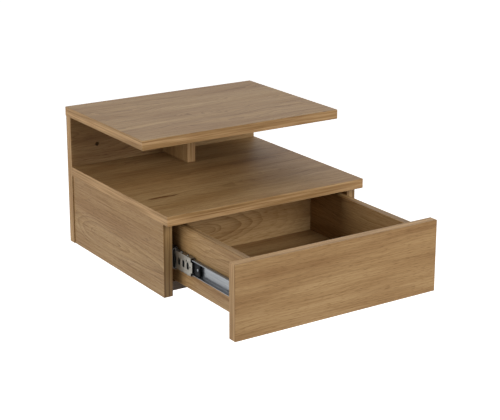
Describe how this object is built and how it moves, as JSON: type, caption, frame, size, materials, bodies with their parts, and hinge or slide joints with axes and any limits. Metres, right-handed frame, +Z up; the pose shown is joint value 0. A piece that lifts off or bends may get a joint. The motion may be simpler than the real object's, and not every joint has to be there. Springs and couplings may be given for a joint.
{
  "type": "floating nightstand",
  "caption": "Wall-hung oak-look nightstand with an open niche under a short top, a deeper shelf and a drawer on ball bearing runners, shown pulled out.",
  "frame": {"origin": "on the wall face of the back panel, halfway between the two wall screw holes", "axes": "+X to the right of someone facing the front, +Y out of the back into the wall, +Z up; the drawer opens towards -Y"},
  "size_m": [0.35, 0.496, 0.225],
  "materials": {
    "oak_boards": "oak-look melamine on particle board with matching edge bands, matt, fine grain",
    "beech_dowels": "plain turned beech",
    "runner_steel": "bright zinc-plated rolled steel",
    "plated_fittings": "zinc-plated screws and zinc die-cast cams",
    "black_plastic": "black moulded plastic"
  },
  "bodies": {
    "cabinet": {"top_panel": "oak_boards", "back_panel": "oak_boards", "shelf_panel": "oak_boards", "side_panel_left": "oak_boards", "side_panel_right": "oak_boards", "bottom_rail": "oak_boards", "centre_support": "oak_boards", "cabinet_runner_left": "runner_steel", "cabinet_runner_right": "runner_steel", "cam_bolt_top_left": "plated_fittings", "cam_lock_top_left": "plated_fittings", "cam_bolt_side_left": "plated_fittings", "cam_lock_side_left": "plated_fittings", "cam_bolt_rail_left": "plated_fittings", "cam_lock_rail_left": "plated_fittings", "back_screw_lower_left": "plated_fittings", "back_screw_upper_left": "plated_fittings", "back_screw_shelf_left": "plated_fittings", "cam_bolt_top_right": "plated_fittings", "cam_lock_top_right": "plated_fittings", "cam_bolt_side_right": "plated_fittings", "cam_lock_side_right": "plated_fittings", "cam_bolt_rail_right": "plated_fittings", "cam_lock_rail_right": "plated_fittings", "back_screw_lower_right": "plated_fittings", "back_screw_upper_right": "plated_fittings", "back_screw_shelf_right": "plated_fittings", "support_screw": "plated_fittings", "dowel_side_left": "beech_dowels", "dowel_side_right": "beech_dowels", "dowel_support": "beech_dowels", "cabinet_runner_screw_front_left": "plated_fittings", "cabinet_runner_screw_rear_left": "plated_fittings", "cabinet_runner_screw_front_right": "plated_fittings", "cabinet_runner_screw_rear_right": "plated_fittings"},
    "drawer": {"drawer_front": "oak_boards", "drawer_side_left": "oak_boards", "drawer_side_right": "oak_boards", "drawer_back": "oak_boards", "drawer_bottom": "oak_boards", "drawer_runner_left": "runner_steel", "drawer_runner_right": "runner_steel", "cam_bolt_drawer_left": "plated_fittings", "cam_lock_drawer_left": "plated_fittings", "drawer_screw_upper_left": "plated_fittings", "drawer_screw_lower_left": "plated_fittings", "cam_bolt_drawer_right": "plated_fittings", "cam_lock_drawer_right": "plated_fittings", "drawer_screw_upper_right": "plated_fittings", "drawer_screw_lower_right": "plated_fittings", "dowel_drawer_left": "beech_dowels", "dowel_drawer_right": "beech_dowels", "drawer_runner_screw_front_left": "plated_fittings", "drawer_runner_screw_rear_left": "plated_fittings", "drawer_runner_screw_front_right": "plated_fittings", "drawer_runner_screw_rear_right": "plated_fittings"},
    "ball_cage_left": {"ball_cage_left": "runner_steel"},
    "ball_cage_right": {"ball_cage_right": "runner_steel"},
    "release_lever_left": {"release_lever_left": "black_plastic"},
    "release_lever_right": {"release_lever_right": "black_plastic"}
  },
  "joints": [
    {"name": "drawer_slide", "type": "slide", "parent": "cabinet", "child": "drawer", "axis": [0, -1, 0], "range_m": [-0.176, 0]},
    {"name": "cage_slide_left", "type": "slide", "parent": "cabinet", "child": "ball_cage_left", "axis": [0, -1, 0], "range_m": [-0.088, 0]},
    {"name": "cage_slide_right", "type": "slide", "parent": "cabinet", "child": "ball_cage_right", "axis": [0, -1, 0], "range_m": [-0.088, 0]},
    {"name": "lever_press_left", "type": "hinge", "parent": "drawer", "child": "release_lever_left", "pos_m": [-0.1487, -0.3615, -0.103], "axis": [1, 0, 0], "range_deg": [0, 5], "stiffness_Nm_per_rad": 0.03},
    {"name": "lever_press_right", "type": "hinge", "parent": "drawer", "child": "release_lever_right", "pos_m": [0.1487, -0.3615, -0.103], "axis": [1, 0, 0], "range_deg": [-5, 0], "stiffness_Nm_per_rad": 0.03}
  ],
  "couplings": [
    {"joint": "cage_slide_left", "follows": "drawer_slide", "ratio": 0.5},
    {"joint": "cage_slide_right", "follows": "drawer_slide", "ratio": 0.5}
  ]
}
